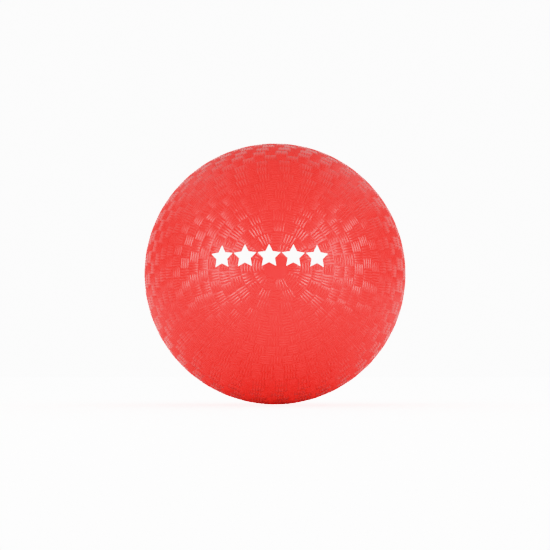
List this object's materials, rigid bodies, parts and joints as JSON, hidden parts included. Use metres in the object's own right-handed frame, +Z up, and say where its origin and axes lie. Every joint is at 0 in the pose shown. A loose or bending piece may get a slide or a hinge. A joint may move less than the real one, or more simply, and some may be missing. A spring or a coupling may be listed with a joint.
{
  "type": "playground rubber ball",
  "caption": "Round inflatable rubber playground ball with a basket-weave grip surface, a printed row of stars and a self-sealing needle valve.",
  "frame": {"origin": "centre of the ball", "axes": "+Z up, +Y along the valve's axis and out of the valve's face, so the printed front faces -Y"},
  "size_m": [0.2158, 0.2159, 0.216],
  "materials": {
    "red_rubber": "satin",
    "black_butyl": "matte",
    "valve_rubber": "satin",
    "gum_rubber": "satin",
    "white_ink": "satin"
  },
  "bodies": {
    "ball": {"cover": "red_rubber", "bladder": "black_butyl", "valve_housing": "valve_rubber", "printed_stars": "white_ink"},
    "plug": {"valve_plug": "gum_rubber"}
  },
  "joints": [
    {"name": "valve_plug_pull", "type": "slide", "parent": "ball", "child": "plug", "axis": [0, 1, 0], "range_m": [0, 0.016]}
  ]
}
